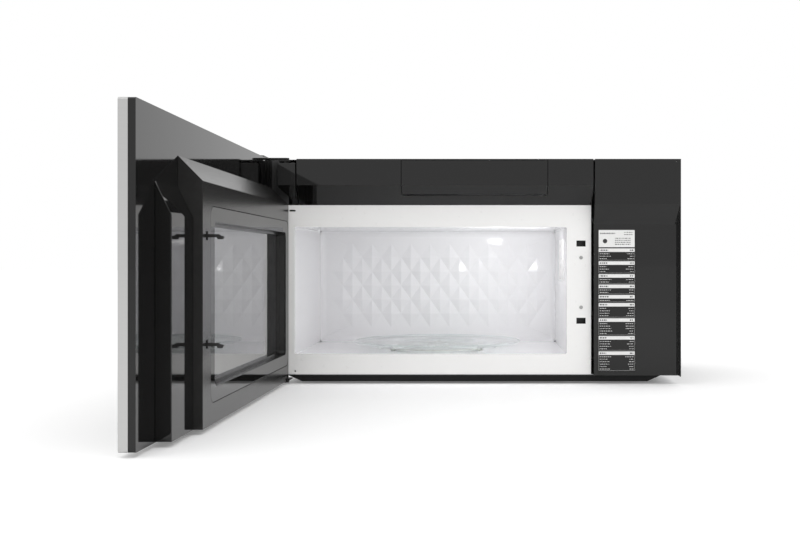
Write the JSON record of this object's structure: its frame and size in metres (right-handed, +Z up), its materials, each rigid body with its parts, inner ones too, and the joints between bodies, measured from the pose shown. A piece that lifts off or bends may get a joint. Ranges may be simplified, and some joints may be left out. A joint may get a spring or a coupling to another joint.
{
  "type": "over the range microwave",
  "caption": "Over the range microwave with a side hinged door standing open, glass turntable, vent grille, duct outlet and cooktop lamps.",
  "frame": {"origin": "centre of the face that lies on the wall, level with the casing floor", "axes": "+X right as the cook faces it, +Y into the wall, +Z up"},
  "size_m": [0.806, 1.1221, 0.4499],
  "materials": {
    "casing_paint": "satin black baked paint",
    "galvanised": "plain zinc coated sheet",
    "cavity_enamel": "smooth off white oven paint",
    "front_enamel": "smooth white oven paint",
    "black_gloss": "polished black moulding",
    "black_satin": "satin black moulding",
    "pan_paint": "satin black baked paint",
    "stainless": "long grain brushed steel",
    "dark_glass": "smoked, polished",
    "window_glass": "clear, polished",
    "tray_glass": "clear, slightly green rim",
    "screen": "perforated sheet, black",
    "screw_steel": "bright plated",
    "hinge_steel": "plated pressed steel",
    "white_plastic": "satin natural moulding",
    "mica": "pressed mica sheet",
    "magnetron_metal": "pressed fins and steel yoke",
    "core_steel": "varnished laminations",
    "copper": "enamelled copper wire",
    "capacitor_can": "drawn can",
    "board": "varnished circuit board",
    "guide_print": "printed film",
    "charcoal": "carbon granules in a card frame",
    "grease_mesh": "expanded aluminium mesh",
    "lens": "frosted, ribbed",
    "lamp_metal": "bright reflector",
    "motor_metal": "zinc plated can",
    "grommet": "moulded",
    "spring_steel": "drawn wire",
    "fan_plastic": "moulded"
  },
  "bodies": {
    "casing": {"outer_wrap": "casing_paint", "rear_panel": "galvanised", "cord_grommet": "grommet", "wall_mounting_plate": "galvanised", "base_plate": "galvanised", "bottom_pan": "pan_paint", "cavity_front_plate": "front_enamel", "cavity_wrap": "cavity_enamel", "cavity_back_wall": "cavity_enamel", "cavity_floor": "cavity_enamel", "plate_screws": "screw_steel", "waveguide_cover": "mica", "waveguide": "galvanised", "magnetron": "magnetron_metal", "transformer_core": "core_steel", "transformer_coils": "copper", "high_voltage_capacitor": "capacitor_can", "cooling_fan_motor": "motor_metal", "power_board": "board", "latch_board": "black_satin", "door_switches": "black_satin", "turntable_motor": "motor_metal", "cavity_lamp": "lamp_metal", "vent_grille": "black_gloss", "charcoal_filter": "charcoal", "hinge_cover": "black_gloss", "control_side_panel": "black_gloss", "cooking_guide_label": "guide_print", "blower_motor": "motor_metal", "blower_housings": "fan_plastic", "exhaust_adapter": "galvanised", "cooktop_lamp_lenses": "lens", "cooktop_lamps": "lamp_metal", "cabinet_bolt_nuts": "screw_steel", "hinge_brackets": "hinge_steel"},
    "door": {"hinge_arms": "hinge_steel", "hinge_screws": "screw_steel", "door_skin": "stainless", "door_front_glass": "dark_glass", "door_back_frame": "black_gloss", "choke_frame": "black_satin", "window_bezel": "black_gloss", "inner_window_glass": "window_glass", "perforated_screen": "screen", "control_housing": "black_gloss", "control_board": "board", "latch_spring": "spring_steel"},
    "latch": {"latch_bar": "black_satin"},
    "turntable_drive": {"turntable_coupler": "white_plastic"},
    "tray": {"glass_tray": "tray_glass"},
    "roller_carrier": {"roller_ring": "white_plastic"},
    "roller_1": {"roller_wheel_1": "white_plastic"},
    "roller_2": {"roller_wheel_2": "white_plastic"},
    "roller_3": {"roller_wheel_3": "white_plastic"},
    "fan_rotor": {"cooling_fan": "fan_plastic"},
    "blower_rotor": {"blower_wheels": "fan_plastic"},
    "filter_flap": {"charcoal_filter_door": "black_gloss"},
    "left_grease_filter": {"grease_filter_left": "grease_mesh"},
    "right_grease_filter": {"grease_filter_right": "grease_mesh"},
    "damper": {"exhaust_damper": "galvanised"}
  },
  "joints": [
    {"name": "door_hinge", "type": "hinge", "parent": "casing", "child": "door", "pos_m": [-0.368, -0.3746, 0.2], "axis": [0, 0, -1], "range_deg": [-90.64, 14]},
    {"name": "latch_slide", "type": "slide", "parent": "door", "child": "latch", "axis": [0, 0, 1], "range_m": [0, 0.003], "stiffness_N_per_m": 400, "springref_m": -0.004, "deforming": ["latch_spring"]},
    {"name": "turntable_spin", "type": "hinge", "parent": "casing", "child": "turntable_drive", "pos_m": [-0.0865, -0.189, 0.04], "axis": [0, 0, 1], "continuous": true},
    {"name": "tray_lift", "type": "slide", "parent": "turntable_drive", "child": "tray", "axis": [0, 0, 1], "range_m": [0, 0.1]},
    {"name": "roller_carrier_spin", "type": "hinge", "parent": "casing", "child": "roller_carrier", "pos_m": [-0.0865, -0.189, 0.04], "axis": [0, 0, 1], "continuous": true},
    {"name": "roller_1_roll", "type": "hinge", "parent": "roller_carrier", "child": "roller_1", "pos_m": [-0.0865, -0.087, 0.0404], "axis": [0, 1, 0], "continuous": true},
    {"name": "roller_2_roll", "type": "hinge", "parent": "roller_carrier", "child": "roller_2", "pos_m": [-0.17483, -0.24, 0.0404], "axis": [-0.866, -0.5, 0], "continuous": true},
    {"name": "roller_3_roll", "type": "hinge", "parent": "roller_carrier", "child": "roller_3", "pos_m": [0.00184, -0.24, 0.0404], "axis": [0.866, -0.5, 0], "continuous": true},
    {"name": "cooling_fan_spin", "type": "hinge", "parent": "casing", "child": "fan_rotor", "pos_m": [0.3, -0.042, 0.066], "axis": [0, 1, 0], "continuous": true},
    {"name": "blower_spin", "type": "hinge", "parent": "casing", "child": "blower_rotor", "pos_m": [0, -0.114, 0.3448], "axis": [1, 0, 0], "continuous": true},
    {"name": "filter_flap_tilt", "type": "hinge", "parent": "casing", "child": "filter_flap", "pos_m": [-0.00825, -0.3828, 0.3446], "axis": [1, 0, 0], "range_deg": [0, 60]},
    {"name": "left_grease_filter_slide", "type": "slide", "parent": "casing", "child": "left_grease_filter", "axis": [0, 1, 0], "range_m": [0, 0.01]},
    {"name": "right_grease_filter_slide", "type": "slide", "parent": "casing", "child": "right_grease_filter", "axis": [0, 1, 0], "range_m": [0, 0.01]},
    {"name": "damper_lift", "type": "hinge", "parent": "casing", "child": "damper", "pos_m": [0, -0.0901, 0.419], "axis": [1, 0, 0], "range_deg": [0, 75]}
  ],
  "couplings": [
    {"joint": "roller_carrier_spin", "follows": "turntable_spin", "ratio": 0.5},
    {"joint": "roller_1_roll", "follows": "turntable_spin", "ratio": -8.5},
    {"joint": "roller_2_roll", "follows": "turntable_spin", "ratio": -8.5},
    {"joint": "roller_3_roll", "follows": "turntable_spin", "ratio": -8.5}
  ]
}
